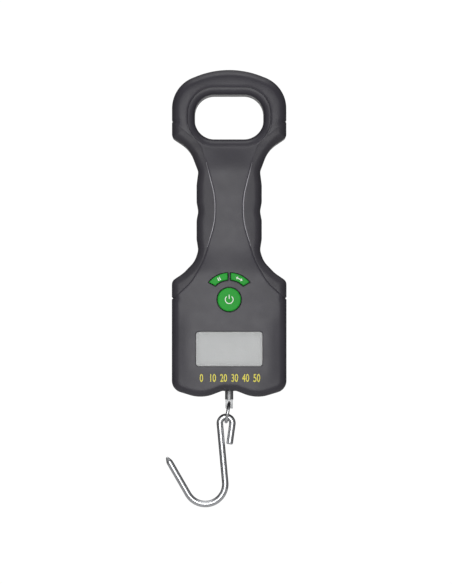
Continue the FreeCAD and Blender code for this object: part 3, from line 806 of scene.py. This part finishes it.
def make_link():
    down = Vector((-math.sin(LINK_TILT), 0, -math.cos(LINK_TILT)))
    centre = Vector((0, 0, EYE_Z)) + down * LINK_R
    path = []
    for k in range(96):
        angle = 2 * math.pi * k / 96
        path.append(centre + down * LINK_R * math.cos(angle) + Vector((0, 1, 0)) * LINK_R * math.sin(angle))
    link = sweep("link_wire", path, [LINK_WIRE] * 96, STEEL, 24, True)
    shade(link)
    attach(link, "link")
    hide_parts("link_ring")


def arc_points(centre, radius, start, end, count):
    """Points on an arc in the XZ plane, from one angle to another."""
    angles = np.linspace(start, end, count)
    return [Vector((centre[0] + radius * math.cos(a), 0, centre[1] + radius * math.sin(a))) for a in angles]


def make_hook():
    low = (-2 * LINK_R * math.sin(LINK_TILT), EYE_Z - 2 * LINK_R * math.cos(LINK_TILT))
    curl = (low[0], low[1] + HOOK_WIRE + LINK_WIRE + HOOK_GAP - CURL_R)
    path = []
    right = -CURL_LEAN
    start = Vector((curl[0] + CURL_R * math.cos(right), 0, curl[1] + CURL_R * math.sin(right)))
    short = start + Vector((-math.sin(CURL_LEAN), 0, -math.cos(CURL_LEAN))) * CURL_END
    path += [short.lerp(start, t) for t in SHORT_STEPS]
    # the short end's normal leans the other way from the shank's, so the curl runs a little over half a turn
    path += arc_points(curl, CURL_R, right, math.pi + SHANK_LEAN, 40)
    way = Vector((math.sin(SHANK_LEAN), 0, -math.cos(SHANK_LEAN)))
    left = path[-1]
    path += [left + way * SHANK * t for t in SHANK_STEPS]
    shank_end = left + way * SHANK
    bend = (shank_end.x - BEND_R * math.cos(SHANK_LEAN), shank_end.z - BEND_R * math.sin(SHANK_LEAN))
    path += arc_points(bend, BEND_R, SHANK_LEAN, -math.pi + LEG_LEAN, 60)
    leg = path[-1]
    leg_way = Vector((-math.sin(LEG_LEAN), 0, math.cos(LEG_LEAN)))
    path += [leg + leg_way * LEG_REACH * t for t in LEG_STEPS]
    radii = [HOOK_WIRE] * len(path)
    radii[:len(START_TAPER)] = [HOOK_WIRE * k for k in START_TAPER]
    radii[-len(TIP_TAPER):] = [HOOK_WIRE * k for k in TIP_TAPER]
    hook = sweep("hook_wire", path, radii, STEEL, 32)
    shade(hook, 50.0)
    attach(hook, "hook")
    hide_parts("hook")


# ---------------------------------------------------------------- stage, light and camera

def plane(name, corners, material):
    mesh = bpy.data.meshes.new(name)
    mesh.from_pydata(corners, [], [(0, 1, 2, 3)])
    obj = bpy.data.objects.new(name, mesh)
    bpy.context.scene.collection.objects.link(obj)
    obj.data.materials.append(material)
    return obj


def area_light(name, place, target, size, power):
    light = bpy.data.lights.new(name, "AREA")
    light.shape = "RECTANGLE"
    light.size, light.size_y = size
    light.energy = power
    obj = bpy.data.objects.new(name, light)
    bpy.context.scene.collection.objects.link(obj)
    obj.location = place
    obj.rotation_euler = (Vector(target) - Vector(place)).to_track_quat("-Z", "Y").to_euler()


STUDIO_GREY = 0.10


def make_world():
    """A mid grey studio that turns white behind the object and over it."""
    world = bpy.data.worlds.new("studio")
    world.use_nodes = True
    tree = world.node_tree
    background = tree.nodes["Background"]
    place = tree.nodes.new("ShaderNodeTexCoord")
    parts = tree.nodes.new("ShaderNodeSeparateXYZ")
    tree.links.new(place.outputs["Generated"], parts.inputs[0])
    shades = []
    for axis, start, end, low in (("Y", 0.90, 0.97, STUDIO_GREY), ("Z", 0.70, 0.95, 0.0)):
        ramp = tree.nodes.new("ShaderNodeValToRGB")
        ramp.color_ramp.elements[0].position = start
        ramp.color_ramp.elements[1].position = end
        ramp.color_ramp.elements[0].color = (low, low, low, 1)
        tree.links.new(parts.outputs[axis], ramp.inputs["Fac"])
        shades.append(ramp.outputs["Color"])
    mix = tree.nodes.new("ShaderNodeMix")
    mix.data_type = "RGBA"
    mix.blend_type = "LIGHTEN"
    mix.inputs["Factor"].default_value = 1.0
    tree.links.new(shades[0], mix.inputs[6])
    tree.links.new(shades[1], mix.inputs[7])
    tree.links.new(mix.outputs[2], background.inputs["Color"])
    background.inputs["Strength"].default_value = 1.03
    bpy.context.scene.world = world


def make_stage():
    """A pale floor far below, a key lamp, two side lamps and a top lamp, and the studio round them."""
    pale = grained("pale_floor", (0.85, 0.85, 0.85, 1.0), 0.01, 0.8, 50.0, 0.02)
    plane("floor", [(-1.5, -1.5, -0.75), (1.5, -1.5, -0.75), (1.5, 1.5, -0.75), (-1.5, 1.5, -0.75)], pale)
    middle = (0, 0, -0.13)
    area_light("key", (-0.02, -0.62, -0.13), middle, (0.42, 0.42), 2.5)
    area_light("side", (-0.9, -0.5, 0.1), middle, (0.4, 0.9), 0.45)
    area_light("other_side", (0.9, -0.6, 0.0), middle, (0.4, 0.9), 0.4)
    area_light("top", (0.0, -0.3, 0.9), middle, (0.8, 0.4), 2.5)
    make_world()
    bpy.context.scene.view_settings.view_transform = "Standard"


def make_camera():
    """The camera looks straight at the front from far off, with a long lens."""
    centre = (-2.1 * MM, -130.9 * MM)
    tall = 389.3 * MM
    data = bpy.data.cameras.new("camera")
    data.sensor_width = 36.0
    data.lens = 150.0
    camera = bpy.data.objects.new("camera", data)
    bpy.context.scene.collection.objects.link(camera)
    camera.location = (centre[0], -tall * data.lens / data.sensor_width, centre[1])
    camera.rotation_euler = (math.pi / 2, 0, 0)
    bpy.context.scene.camera = camera


paint_frame()
make_casing()
make_painted_highlight_beads()
make_buttons()
make_window()
make_scale_marks()
make_link()
make_hook()
make_stage()
make_camera()
